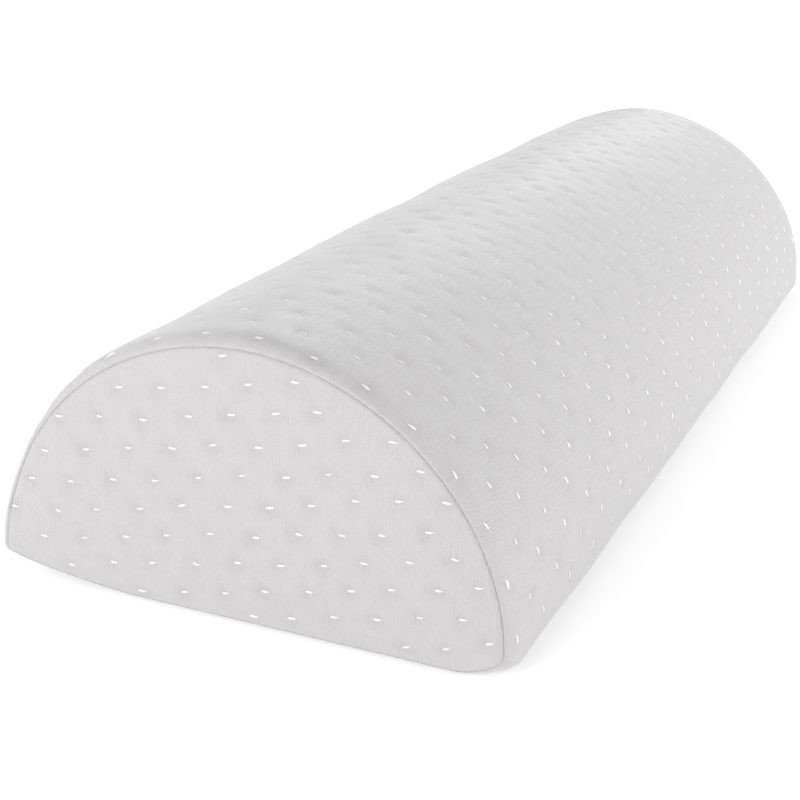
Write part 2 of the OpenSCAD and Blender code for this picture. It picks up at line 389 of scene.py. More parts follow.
def lattice_point(i, j):
    """(y, z) on the panel of place i in row j, where i and j needn't be whole."""
    even = np.multiply.outer(PANEL_PITCH * i, ROW_DIR) + np.multiply.outer(PANEL_ROW * j, RISE_DIR)
    return PANEL_AT + even / (1 - even @ PANEL_DRAW)[..., None]


def lattice_place(points):
    """(i, j) of (y, z) points: the inverse of lattice_point."""
    rel = points - PANEL_AT
    even = rel / (1 + rel @ PANEL_DRAW)[..., None]
    return even @ ROW_DIR / PANEL_PITCH, even @ RISE_DIR / PANEL_ROW


def seam_ring(u, d):
    """(y, z) of the line at distance d inside the end panel's seam."""
    y, z = section(q_of(u), PANEL_IN + d, RIM_LIFT * PANEL_IN + d)
    return y + rim_spread(y, z), z


SEAM_LINE = np.stack(seam_ring(np.linspace(0, ROUND, 1600, endpoint=False), 0), 1)


def inside(points):
    """How far (y, z) points are inside the end panel's seam, negative outside."""
    steps = np.roll(SEAM_LINE, -1, 0) - SEAM_LINE
    out = np.zeros(len(points))
    for start in range(0, len(points), 1500):
        p = points[start:start + 1500, None, :]
        d = p - SEAM_LINE[None]
        k = np.argmin((d ** 2).sum(-1), 1)
        t = steps[k] / np.linalg.norm(steps[k], axis=1, keepdims=True)
        away = d[np.arange(len(k)), k]
        side = -(away[:, 0] * t[:, 1] - away[:, 1] * t[:, 0])
        out[start:start + 1500] = np.sign(side) * np.hypot(away[:, 0], away[:, 1])
    return out


def panel_dashes():
    """(y, z) of every satin dash on an end panel, with the knit's small unevenness."""
    j, i = np.meshgrid(np.arange(-8, 9), np.arange(-9, 12), indexing="ij")
    found = lattice_point(i + 0.5 * (j % 2), 1.0 * j).reshape(-1, 2)
    found = found + RNG.normal(0, 0.5 * MM, found.shape)
    return found[inside(found) > 1.8 * MM]


def float_mesh(centres, along, across, normal, length, width, lift, sink, skew):
    """(points, faces) of sewn or knitted floats, each a little bundle of three strands."""
    stations = np.linspace(-1, 1, 7)
    profile = np.array([(-1, 0), (-0.72, 0.8), (-0.34, 0.4), (0, 1), (0.34, 0.4), (0.72, 0.8), (1, 0)])
    count = len(centres)
    size = 1 + RNG.normal(0, 0.08, (count, 1, 1))
    turn = RNG.normal(0, 0.10, (count, 1))
    ahead = along * np.cos(turn) + across * np.sin(turn)
    side = across * np.cos(turn) - along * np.sin(turn)
    s = stations[None, :, None]
    w, h = profile[None, None, :, 0], profile[None, None, :, 1]
    arch = np.sqrt(np.clip(1 - s ** 2, 0, 1))
    taper = 0.35 + 0.65 * arch
    d_along = size * (s * length / 2 + w * skew)
    d_side = size * w * width / 2 * taper
    d_up = -sink + (sink + lift * (0.55 + 0.45 * h)) * arch ** 0.7 - (1 - h) * 0.3 * lift
    points = (centres[:, None, None, :] + ahead[:, None, None, :] * d_along[..., None]
              + side[:, None, None, :] * d_side[..., None]
              + normal[:, None, None, :] * (d_up + 0 * size)[..., None])
    rows, cols = len(stations), len(profile)
    quads = grid_faces(rows, cols)
    under = [[r * cols, (r + 1) * cols, (r + 1) * cols + cols - 1, r * cols + cols - 1]
             for r in range(rows - 1)]
    caps = [list(range(cols))[::-1], list(range((rows - 1) * cols, rows * cols))]
    one = quads.tolist() + under + caps
    faces = [[k + n * rows * cols for k in f] for n in range(count) for f in one]
    return points.reshape(-1, 3), faces


# ---- the cover's wrap -------------------------------------------------------------------
DIMPLE = 0.55 * MM
DIMPLE_U = 2.4 * MM
DIMPLE_V = 1.9 * MM
PUFF = 1.0 * MM


def ground(points):
    """Cloth that would go below the base lies flat on it."""
    points[..., 2] = np.maximum(points[..., 2], 0)
    return points


def lying(z):
    """0 where the cloth lies on the ground, and 1 where it is free."""
    return smoothstep(0.3 * MM, 7 * MM, z)


def wrap_padding(dashes):
    """The simulated swell, as a function of u and v that returns heights on their grid."""
    cells_u = 4 * round(ROUND / PITCH_U)
    cells_v = 3 * round(2 * V_ROLL / PITCH_V)
    us = np.arange(cells_u) * ROUND / cells_u
    vs = np.linspace(-V_ROLL, V_ROLL, cells_v + 1)
    u, v = np.meshgrid(us, vs, indexing="ij")
    p, _, _, n = wrap_frame(u, v)
    step_u, step_v = ROUND / cells_u, vs[1] - vs[0]
    pins = np.zeros(u.shape, bool)
    for du, dv in dashes:
        i = int(round(du / step_u)) % cells_u
        j = int(np.clip(round((dv + V_ROLL) / step_v), 0, cells_v))
        pins[i, j] = True
    pins[:, :1] = True
    pins[:, -1:] = True
    pins |= (from_zip(u) < STITCH_S + 3 * MM) & (np.abs(v) < TAPE_END + 3 * MM)
    quads = grid_faces(cells_u, cells_v + 1, True)
    out = puffed(p.reshape(-1, 3), quads[:, ::-1], n.reshape(-1, 3), pins.ravel(), PUFF)
    out = out.reshape(u.shape)

    def height(at_u, at_v):
        rows = cubic_rows(at_u / step_u, cells_u, True)
        cols = cubic_rows(np.clip((at_v + V_ROLL) / step_v, 0, cells_v), cells_v + 1)
        return rows @ out @ cols.T

    return height


def dimples_on_grid(us, vs, dashes, strength):
    """How deep in a dimple each point of the grid is, as a share of a full one."""
    depth = np.zeros((len(us), len(vs)))
    for (du, dv), k in zip(dashes, strength):
        apart = np.mod(us - du + ROUND / 2, ROUND) - ROUND / 2
        i = np.nonzero(np.abs(apart) < 3.2 * DIMPLE_U)[0]
        j = np.nonzero(np.abs(vs - dv) < 3.2 * DIMPLE_V)[0]
        if len(i) and len(j):
            bell = np.exp(-0.5 * (apart[i, None] / DIMPLE_U) ** 2
                          - 0.5 * ((vs[None, j] - dv) / DIMPLE_V) ** 2)
            depth[np.ix_(i, j)] += k * bell
    return depth


def broad_waves(a, b, amount):
    """Slow unevenness of the padding over tens of millimetres."""
    rng = np.random.default_rng(5)
    out = 0
    for _ in range(14):
        wave = rng.uniform(35, 110) * MM
        way = rng.uniform(0, 2 * math.pi)
        out = out + np.sin(2 * math.pi * (a * math.cos(way) + b * math.sin(way)) / wave
                           + rng.uniform(0, 2 * math.pi))
    return amount * out / math.sqrt(14)


def wrap_waves(u, v):
    """The wrap's slow unevenness, which fades out at the zip, where both ends of u meet."""
    return broad_waves(np.mod(u, ROUND), v, 0.3 * MM) * smoothstep(2 * MM, 30 * MM, from_zip(u))


def wrap_grid():
    """(u lines, v lines, first u line of the zip's opening) of the wrap's mesh."""
    first = GAP_S + np.array([0, 0.35, 1.0, 2.2, 3.8]) * MM
    cells = round((ROUND - 2 * (GAP_S + 6 * MM)) / (2.5 * MM))
    middle = np.linspace(GAP_S + 6 * MM, ROUND - GAP_S - 6 * MM, cells + 1)
    bridge = ROUND + np.array([-3.6, -1.2, 1.2, 3.6]) * MM
    us = np.concatenate([first, middle, (ROUND - first)[::-1], bridge])
    side = np.linspace(0, GAP_X, round(GAP_X / (2.3 * MM)) + 1)
    far = np.linspace(GAP_X, V_ROLL, 9)[1:]
    tuck = np.linspace(V_ROLL, V_SEAM, 5)[1:]
    half = np.concatenate([side, far, tuck])
    vs = np.concatenate([-half[:0:-1], half])
    return us, vs, len(us) - len(bridge) - 1


def wrap_height(us, vs, padding, depth, free):
    """Height of the knit over the smooth layer, on the grid."""
    u, v = np.meshgrid(us, vs, indexing="ij")
    edge = 1 - smoothstep(V_ROLL - 4 * MM, V_ROLL, np.abs(v))
    zip_u = from_zip(u)
    in_row = smoothstep(TAPE_END, TAPE_END + 5 * MM, np.abs(v))
    by_zip = smoothstep(STITCH_S * (1 - 2 * in_row), STITCH_S + 8 * MM, zip_u)
    h = padding(np.mod(us, ROUND), vs) * edge * by_zip
    h = h + wrap_waves(u, v) * edge
    h = h - DIMPLE * depth * edge
    h = h * free
    # the folded edges of the zip's opening, and the line pulled in by the topstitching
    fold = np.abs(v) < GAP_X + 0.1 * MM
    h = h - np.where(fold, 1.1 * MM * np.clip(1 - (zip_u - GAP_S) / (1.6 * MM), 0, 1) ** 2, 0)
    return h - 0.35 * MM * np.exp(-((zip_u - STITCH_S) / (0.9 * MM)) ** 2) * (np.abs(v) < TACK_X + 2 * MM)


def make_wrap_dashes(dashes, strength, padding):
    """The dashes lie in their dimples; those that would touch the ground are left out."""
    clear = np.abs(dashes[:, 1]) < V_ROLL - 2 * MM
    on = dashes[clear]
    c, du, dv, n = wrap_frame(on[:, 0], on[:, 1])
    lift = np.array([padding(place[:1], place[1:])[0, 0] for place in on])
    lift = lift + wrap_waves(on[:, 0], on[:, 1]) - DIMPLE * strength[clear]
    lift = lift * lying(c[:, 2])
    off_ground = c[:, 2] >= 1.5 * MM
    c = c + n * lift[:, None]
    pts, fcs = float_mesh(c[off_ground], du[off_ground], dv[off_ground], n[off_ground], *SATIN)
    piece("wrap_satin_dashes", pts, fcs, "satin")


def make_wrap():
    dashes = wrap_dashes()
    strength = np.clip(1 + RNG.normal(0, 0.18, len(dashes)), 0.4, 1.4)
    padding = wrap_padding(dashes)
    us, vs, opening = wrap_grid()
    u, v = np.meshgrid(us, vs, indexing="ij")
    p, _, _, n = wrap_frame(u, v)
    depth = dimples_on_grid(np.mod(us, ROUND), vs, dashes, strength)
    h = wrap_height(us, vs, padding, depth, lying(p[..., 2]))
    outer = ground(p + n * h[..., None])
    inner = wrap_base(u, v, COVER_T)
    cut = np.zeros((len(us), len(vs) - 1), bool)
    cut[opening:, :] = True
    cut &= np.abs((vs[1:] + vs[:-1]) / 2)[None] < GAP_X
    quads = grid_faces(len(us), len(vs), True, keep=~cut)[:, ::-1]
    points, faces = thickened(outer.reshape(-1, 3), inner.reshape(-1, 3), quads)
    obj = piece("cover_wrap_knit", points, faces, "knit", nodes=["cover_wrap"])
    coords = np.stack([u, v], -1).reshape(-1, 2)
    set_cloth(obj, np.concatenate([coords, coords]), np.concatenate([depth.ravel(), 0 * depth.ravel()]))
    make_wrap_dashes(dashes, strength, padding)


# ---- the end panels ---------------------------------------------------------------------
def panel_x(d):
    """Distance of the panel from the body's middle, at distance d inside its seam."""
    rise = np.clip((d - 1 * MM) / (40 * MM), 0, 1)
    dome = 0.9 * END_CROWN * (1 - (1 - rise) ** 2.2)
    t = np.clip(d / (1.2 * MM), 0, 1)
    groove = 1.2 * MM * (1 - np.sqrt(np.clip(1 - (1 - t) ** 2, 0, 1)))
    return RIM_X + RIM_R - 0.35 * MM + dome - groove


def panel_padding():
    """The simulated swell of an end panel, as a function of (y, z) points."""
    ii = np.arange(-9, 9.01, 0.25)
    jj = np.arange(-9, 7.01, 1 / 3)
    i, j = np.meshgrid(ii, jj, indexing="ij")
    yz = lattice_point(i, j)
    d = inside(yz.reshape(-1, 2)).reshape(i.shape)
    p = np.stack([-panel_x(np.maximum(d, 0)), yz[..., 0], yz[..., 1]], -1)
    pins = d < 1 * MM
    whole = np.abs(j - np.round(j)) < 0.01
    row = np.round(j)
    place = i - 0.5 * np.mod(row, 2)
    pins |= whole & (np.abs(place - np.round(place)) < 0.01)
    n = np.zeros_like(p)
    n[..., 0] = -1
    quads = grid_faces(len(ii), len(jj))
    facing = np.cross(p[1, 0] - p[0, 0], p[0, 1] - p[0, 0])[0] > 0
    quads = quads if facing else quads[:, ::-1]
    out = puffed(p.reshape(-1, 3), quads, n.reshape(-1, 3), pins.ravel(), PUFF).reshape(i.shape)

    def height(points):
        i, j = lattice_place(points)
        ci = np.clip((i - ii[0]) * 4, 0, len(ii) - 1)
        cj = np.clip((j - jj[0]) * 3, 0, len(jj) - 1)
        rows, cols = cubic_rows(ci, len(ii)), cubic_rows(cj, len(jj))
        return ((rows @ out) * cols).sum(1)

    return height


def panel_plan(spacing, rings):
    """(points, triangles) that fill the D inside its seam, with rings of points near it."""
    points, edges = [], []
    count = round(ROUND / spacing)
    u = np.linspace(0, ROUND, count, endpoint=False)
    for ring in rings:
        y, z = seam_ring(u, ring)
        first = len(points)
        points += list(zip(y, z))
        edges += [(first + k, first + (k + 1) % count) for k in range(count)]
    ys = np.arange(-HALF_W, HALF_W, spacing)
    zs = np.arange(0, TOP_Z, spacing * math.sqrt(3) / 2)
    y, z = np.meshgrid(ys, zs)
    y = y + spacing / 2 * (np.arange(len(zs)) % 2)[:, None]
    inner = np.stack([y.ravel(), z.ravel()], 1)
    inner = inner[inside(inner) > rings[-1] + 0.6 * spacing]
    points += [tuple(p) for p in inner]
    made = delaunay_2d_cdt([Vector(p) for p in points], edges, [], 1, 1e-7)
    flat = np.array([(p.x, p.y) for p in made[0]])
    tris = np.array([f for f in made[2] if len(f) == 3])
    middle = flat[tris].mean(1)
    tris = tris[inside(middle) > rings[0] - 0.05 * MM]
    return flat, tris


def panel_surface(flat, padding, dashes, strength):
    """(x distance, depth in a dimple) of the panel's outer face at flat (y, z) points."""
    d = inside(flat)
    apart = flat[:, None, :] - dashes[None]
    bell = np.exp(-0.5 * (apart[..., 0] / DIMPLE_U) ** 2 - 0.5 * (apart[..., 1] / DIMPLE_V) ** 2)
    depth = bell @ strength
    edge = smoothstep(0.8 * MM, 5 * MM, d)
    waves = broad_waves(flat[:, 0], flat[:, 1], 0.25 * MM)
    return panel_x(d) + edge * (padding(flat) + waves - DIMPLE * depth), depth


def end_shell(side, x, under, flat, tris):
    """(points, faces) of a D-shaped sheet between two distances from the body's middle."""
    outer = np.column_stack([side * x, flat])
    inner = np.column_stack([side * under, flat])
    cross = np.cross(outer[tris[:, 1]] - outer[tris[:, 0]], outer[tris[:, 2]] - outer[tris[:, 0]])
    way = tris if cross[:, 0].sum() * side > 0 else tris[:, ::-1]
    return thickened(outer, inner, way)


def make_panel_dashes(side, word, tops, dashes):
    count = len(dashes)
    centre = np.column_stack([side * tops, dashes])
    along = np.tile([0.0, side * 1.0, 0.0], (count, 1))
    across = np.tile([0.0, 0.0, 1.0], (count, 1))
    normal = np.tile([side * 1.0, 0.0, 0.0], (count, 1))
    pts, fcs = float_mesh(centre, along, across, normal, *SATIN)
    piece(f"end_{word}_satin_dashes", pts, fcs if side < 0 else [f[::-1] for f in fcs], "satin")


def make_panels():
    dashes = panel_dashes()
    strength = np.clip(1 + RNG.normal(0, 0.22, len(dashes)), 0.35, 1.4)
    padding = panel_padding()
    rings = (0, 0.12 * MM, 0.4 * MM, 0.9 * MM, 1.9 * MM)
    flat, tris = panel_plan(1.75 * MM, rings)
    x, depth = panel_surface(flat, padding, dashes, strength)
    tops, _ = panel_surface(dashes, padding, dashes, strength)
    under = np.minimum(x - 1.2 * MM, panel_x(np.maximum(inside(flat), 2 * MM)) - COVER_T)
    for side, word in ((-1, "left"), (1, "right")):
        points, faces = end_shell(side, x, under, flat, tris)
        obj = piece(f"cover_end_{word}_knit", points, faces, "knit", nodes=[f"cover_end_{word}"])
        set_cloth(obj, np.concatenate([flat, flat]), np.concatenate([depth, 0 * depth]))
        make_panel_dashes(side, word, tops, dashes)


def make_seams():
    """The stitches that show in the groove of each end seam."""
    count = round(ROUND / (2.6 * MM))
    u = (np.arange(count) + 0.5) * ROUND / count
    for side, word in ((-1, "left"), (1, "right")):
        v = np.full(count, side * (V_SEAM - 0.15 * MM))
        c, du, dv, n = wrap_frame(u, v)
        pts, fcs = float_mesh(c - n * 0.25 * MM, du, dv, n, *SEAM_STITCH)
        piece(f"end_seam_{word}_stitches", ground(pts), fcs, "thread", nodes=[f"end_seam_{word}"])


# ---- what is inside ---------------------------------------------------------------------
# how far the liner's sleeve turns over the foam's rims
LINER_TURN = 0.93


def sleeve(inset, thick, cell):
    """(points, faces, coords) of a thin sewn sleeve at a distance inside the cover's surface."""
    us = np.linspace(0, ROUND, round(ROUND / cell), endpoint=False)
    ends = RIM_X + RIM_R * np.linspace(0, LINER_TURN, 4)[1:]
    vs = np.concatenate([-ends[::-1], np.linspace(-RIM_X, RIM_X, round(2 * RIM_X / cell)), ends])
    u, v = np.meshgrid(us, vs, indexing="ij")
    a = np.clip((np.abs(v) - RIM_X) / RIM_R, 0, LINER_TURN)
    out = []
    for layer in (inset, inset + thick):
        r = RIM_R - layer
        x = np.sign(v) * (np.minimum(np.abs(v), RIM_X) + r * np.sin(a))
        y, z = section(q_of(u), RIM_R - r * np.cos(a))
        out.append(np.stack([x, y, z], -1).reshape(-1, 3))
    quads = grid_faces(len(us), len(vs), True)[:, ::-1]
    points, faces = thickened(out[0], out[1], quads)
    coords = np.stack([u, v], -1).reshape(-1, 2)
    return points, faces, np.concatenate([coords, coords])


def make_liner_wrap():
    points, faces, coords = sleeve(LINER_IN, LINER_T, 7 * MM)
    wrap = piece("liner_wrap_tricot", points, faces, "tricot", nodes=["liner_wrap"])
    set_cloth(wrap, coords)
    ring = np.stack(section(np.linspace(0, 5, 2001), LINER_IN), 1)


def make_liner_ends():
    edge = 2.5 * MM
    flat, tris = panel_plan(7 * MM, (edge, edge + 2 * MM))
    d = inside(flat)
    y, z = seam_ring(np.linspace(0, ROUND, 800), edge)
    for side, word in ((-1, "left"), (1, "right")):
        x = panel_x(d) - LINER_IN
        points, faces = end_shell(side, x, x - LINER_T, flat, tris)
        obj = piece(f"liner_end_{word}_tricot", points, faces, "tricot", nodes=[f"liner_end_{word}"])
        set_cloth(obj, np.concatenate([flat, flat]))


def make_liner_seams():
    count = round(ROUND / (3.2 * MM))
    u = (np.arange(count) + 0.5) * ROUND / count
    parts = []
    for side in (-1, 1):
        y, z = section(q_of(u), RIM_R - 0.5 * MM)
        c = np.column_stack([np.full(count, side * (RIM_X + RIM_R - LINER_IN + 0.1 * MM)), y, z])
        ahead = np.roll(c, -1, 0) - np.roll(c, 1, 0)
        ahead /= np.linalg.norm(ahead, axis=1, keepdims=True)
        n = np.tile([side * 1.0, 0.0, 0.0], (count, 1))
        parts.append(float_mesh(c, ahead, np.cross(n, ahead), n, *LINER_STITCH))
    piece("liner_seam_stitches", *joined(parts), "thread", nodes=["liner_seams"])


def make_foam():
    """One block, domed at its ends, that fills the liner."""
    cell = 6 * MM
    us = np.linspace(0, ROUND, round(ROUND / cell), endpoint=False)
    rim = [(RIM_R - (RIM_R - FOAM_IN) * math.cos(a), RIM_X + (RIM_R - FOAM_IN) * math.sin(a))
           for a in np.radians([0, 45, 90])]
    dome = [(d * MM, float(panel_x(np.array(d * MM - PANEL_IN))) - FOAM_IN) for d in (12, 18, 26, 34, 42)]
    half = rim + dome
    body = [(FOAM_IN, x) for x in np.linspace(-RIM_X, RIM_X, round(2 * RIM_X / cell))[1:-1]]
    path = [(d, -x) for d, x in half[::-1]] + body + half
    rings = [np.column_stack([np.full(len(us), x), *section(q_of(us), d)]) for d, x in path]
    points = np.stack(rings, 1)
    quads = grid_faces(len(us), len(path), True)[:, ::-1]
    first = [k * len(path) for k in range(len(us))]
    last = [k * len(path) + len(path) - 1 for k in range(len(us))]
    faces = quads.tolist() + [first, last[::-1]]
    obj = piece("foam_core_block", points.reshape(-1, 3), faces, "foam", nodes=["foam_core"])
    set_cloth(obj, points.reshape(-1, 3)[:, :2])


# ---- the zip ----------------------------------------------------------------------------
def zip_origin():
    """The point at the body's middle where the zip's line lies on the cover's surface."""
    return np.array([0, hinge["pos_m"][1], hinge["pos_m"][2]]) - ZIP_N * PIVOT_N


ZIP_O = zip_origin()


def on_zip(x, n, s):
    x, n, s = np.broadcast_arrays(x, n, s)
    return (ZIP_O + np.multiply.outer(x, ZIP_X) + np.multiply.outer(n, ZIP_N)
            + np.multiply.outer(s, ZIP_S))


def tube(path, radius, sides):
    """(points, faces) of a round tube along a path of points."""
    ahead = np.gradient(path, axis=0)
    ahead /= np.linalg.norm(ahead, axis=1, keepdims=True)
    ref = np.cross(ahead, ZIP_X)
    ref /= np.maximum(np.linalg.norm(ref, axis=1, keepdims=True), 1e-9)
    other = np.cross(ahead, ref)
    a = np.linspace(0, 2 * math.pi, sides, endpoint=False)
    ring = ref[:, None] * np.cos(a)[None, :, None] + other[:, None] * np.sin(a)[None, :, None]
    points = path[:, None] + radius * ring
    return points.reshape(-1, 3), ring_faces(len(path), sides)


COIL_PITCH = 1.6 * MM
# the wire's radius, and the coil's middle under the cover's surface
COIL_WIRE = 0.3 * MM
COIL_N = -1.55 * MM
# the heads stop short of the slider's post, which runs between the coils
COIL_HEAD = 0.85 * MM
COIL_BACK = 2.75 * MM
COIL_TALL = 0.72 * MM


def make_coils():
    """Two nylon coils, half a turn apart, either side of the line that the slider's post runs in."""
    for sign, word, phase in ((1, "upper", 0), (-1, "lower", 0.5)):
        turns = int(2 * COIL_END / COIL_PITCH) - 1
        t = np.linspace(0, turns, turns * 10 + 1)
        a = 2 * math.pi * t
        mid, reach = (COIL_HEAD + COIL_BACK) / 2, (COIL_BACK - COIL_HEAD) / 2
        s = sign * (mid - reach * np.cos(a))
        n = COIL_N + COIL_TALL * np.sin(a)
        lean = 0.22 * np.sin(2 * a)
        x = -COIL_END + COIL_PITCH * (t + phase + 0.5 - 0.16 * lean)
        pts, fcs = tube(on_zip(x, n, s), COIL_WIRE, 6)
        piece(f"zip_coil_{word}_turns", pts, fcs, "nylon", nodes=[f"zip_coil_{word}"])


def strip(name, v0, v1, s0, s1, inset, thick, cell_v, cell_s, material, nodes):
    """A thin strip that follows the section under the cover, with softly waved edges."""
    vs = np.linspace(v0, v1, max(3, round((v1 - v0) / cell_v)))
    ss = np.linspace(s0, s1, max(3, round((s1 - s0) / cell_s)))
    s, v = np.meshgrid(ss, vs, indexing="ij")
    wave = 0.05 * MM * np.sin(v / (3.1 * MM)) * np.sin(s / (2.3 * MM))
    p, _, _, n = wrap_frame(s, v)
    layers = [(p - n * (depth + wave)[..., None]).reshape(-1, 3) for depth in (inset, inset + thick)]
    quads = grid_faces(len(ss), len(vs))
    points, faces = thickened(layers[0], layers[1], quads[:, ::-1])
    obj = piece(name, points, faces, material, nodes=nodes)
    coords = np.stack([s, v], -1).reshape(-1, 2)
    set_cloth(obj, np.concatenate([coords, coords]))
    return obj


# a tape's two edges from the zip's middle line on the cover, its width, depth and thickness
TAPE_NEAR = 0.7 * MM
TAPE_FAR = 14 * MM
TAPE_IN = 2.75 * MM
TAPE_T = 0.42 * MM
# the label's two edges from the zip's middle line, its width, depth and thickness
LABEL_NEAR = 19 * MM
LABEL_FAR = 49 * MM
LABEL_IN = 3.05 * MM
LABEL_T = 0.3 * MM


def make_tapes():
    for sign, word in ((1, "upper"), (-1, "lower")):
        obj = strip(f"zip_tape_{word}_woven", -TAPE_END, TAPE_END, sign * TAPE_NEAR, sign * TAPE_FAR,
                    TAPE_IN, TAPE_T, 3 * MM, 1.2 * MM, "tape", [f"zip_tape_{word}"])


def make_label():
    lo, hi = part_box("care_label")
    label = strip("care_label_satin", lo.x, hi.x, LABEL_NEAR, LABEL_FAR, LABEL_IN, LABEL_T,
                  2 * MM, 2 * MM, "label", ["care_label"])


def zip_threads(name, node, lines, sink, stitch):
    """Stitches that point along v, at the (u, v) places of each line on the wrap."""
    parts = []
    for u, v in lines:
        c, du, dv, n = wrap_frame(u % ROUND, v)
        parts.append((c - n * sink, dv, du, n))
    c, ahead, across, n = (np.concatenate(x) for x in zip(*parts))
    pts, fcs = float_mesh(c, ahead, across, n, *stitch)
    piece(name, pts, fcs, "thread", nodes=[node])


def make_topstitch():
    count = round(2 * GAP_X / (3.4 * MM))
    v = (np.arange(count) + 0.5) / count * 2 * GAP_X - GAP_X
    lines = [(np.full(count, s), v) for s in (STITCH_S, -STITCH_S)]
    zip_threads("zip_topstitch_threads", "zip_topstitch", lines, 0.3 * MM, TOP_STITCH)


def make_bar_tacks():
    s = np.linspace(-GAP_S, GAP_S, 21)
    lines = [(s, np.full(len(s), side * TACK_X)) for side in (-1, 1)]
    zip_threads("zip_bar_tacks", "bar_tacks", lines, 0.0, TACK_STITCH)


def pebble(centre, half, power=5.0, rows=14, cols=22):
    """(points, faces) of a small block with well rounded edges, in the zip's frame."""
    lat = np.linspace(-math.pi / 2, math.pi / 2, rows)
    lon = np.linspace(0, 2 * math.pi, cols, endpoint=False)
    b, a = np.meshgrid(lat, lon, indexing="ij")
    e = 2 / power

    def bent(x):
        return np.sign(x) * np.abs(x) ** e

    x = half[0] * bent(np.cos(b)) * bent(np.cos(a))
    n = half[1] * bent(np.cos(b)) * bent(np.sin(a))
    s = half[2] * bent(np.sin(b))
    points = on_zip(centre[0] + x[1:-1], centre[1] + n[1:-1], centre[2] + s[1:-1]).reshape(-1, 3)
    return points, ring_faces(rows - 2, cols)


# the stops' middle under the cover's surface, and half their thickness
STOP_N = -1.35 * MM
STOP_HALF_N = 1.15 * MM


def stop_block(node, s, half_s):
    """(points, faces) of a stop as long as its CAD node, at s across the zip."""
    lo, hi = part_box(node)
    return pebble(((lo.x + hi.x) / 2, STOP_N, s), ((hi.x - lo.x) / 2, STOP_HALF_N, half_s))


def make_stops():
    pair = [stop_block("zip_top_stops", sign * 2.1 * MM, 1.25 * MM) for sign in (-1, 1)]
    piece("zip_top_stops_nylon", *joined(pair), "nylon", nodes=["zip_top_stops"])
    block = stop_block("zip_bottom_stop", 0, 3.3 * MM)
    piece("zip_bottom_stop_nylon", *block, "nylon", nodes=["zip_bottom_stop"])


def finish_slider():
    """The CAD slider and pull keep their shapes, with eased edges and enamel."""
    for node in ("zip_slider", "zip_pull"):
        obj = frame["nodes"][node]
        obj.data.materials.clear()
        obj.data.materials.append(MATERIALS["enamel"])
        bevel = obj.modifiers.new("eased edges", "BEVEL")
        bevel.width = 0.16 * MM
        bevel.segments = 2
        bevel.limit_method = "ANGLE"
        bevel.angle_limit = math.radians(38)


# ---- materials --------------------------------------------------------------------------
class Nodes:
    """A material's node tree, with short calls to add and join nodes."""

    def __init__(self, name):
        self.material = bpy.data.materials.new(name)
        self.material.use_nodes = True
        self.tree = self.material.node_tree
        self.shader = self.tree.nodes["Principled BSDF"]

    def add(self, kind, **values):
        node = self.tree.nodes.new(kind)
        for key, value in values.items():
            setattr(node, key, value)
        return node

    def join(self, a, b):
        self.tree.links.new(a, b)

    def feed(self, socket, value):
        """Joins an output to a socket, or gives the socket a constant."""
        if isinstance(value, bpy.types.NodeSocket):
            self.join(value, socket)
        elif isinstance(value, tuple) and len(value) == 3:
            socket.default_value = (*value, 1.0)
        else:
            socket.default_value = value

    def math(self, operation, *inputs):
        node = self.add("ShaderNodeMath", operation=operation)
        for k, value in enumerate(inputs):
            self.feed(node.inputs[k], value)
        return node.outputs[0]

    def plus(self, a, b):
        return self.math("ADD", a, b)

    def times(self, a, b):
        return self.math("MULTIPLY", a, b)

    def cloth(self):
        return self.add("ShaderNodeAttribute", attribute_name="cloth").outputs["Vector"]

    def place(self):
        return self.add("ShaderNodeTexCoord").outputs["Object"]

    def split(self, vector):
        node = self.add("ShaderNodeSeparateXYZ")
        self.join(vector, node.inputs[0])
        return node.outputs

    def scaled(self, vector, x, y, z=1.0):
        node = self.add("ShaderNodeVectorMath", operation="MULTIPLY")
        self.join(vector, node.inputs[0])
        node.inputs[1].default_value = (x, y, z)
        return node.outputs[0]

    def noise(self, vector, scale, detail=3.0, rough=0.55, distort=0.0):
        node = self.add("ShaderNodeTexNoise")
        self.join(vector, node.inputs["Vector"])
        node.inputs["Scale"].default_value = scale
        node.inputs["Detail"].default_value = detail
        node.inputs["Roughness"].default_value = rough
        node.inputs["Distortion"].default_value = distort
        return node.outputs["Fac"]

    def mix(self, share, a, b):
        node = self.add("ShaderNodeMix", data_type="RGBA")
        for k, value in ((0, share), (6, a), (7, b)):
            self.feed(node.inputs[k], value)
        return node.outputs[2]

    def bump(self, height, strength, distance, under=None):
        node = self.add("ShaderNodeBump")
        node.inputs["Strength"].default_value = strength
        node.inputs["Distance"].default_value = distance
        self.join(height, node.inputs["Height"])
        if under is not None:
            self.join(under, node.inputs["Normal"])
        return node.outputs["Normal"]

    def set(self, color=None, normal=None, roughness=None, **values):
        values.update(Base_Color=color, Normal=normal, Roughness=roughness)
        for key, value in values.items():
            if value is not None:
                self.feed(self.shader.inputs[key.replace("_", " ")], value)
        return self.material


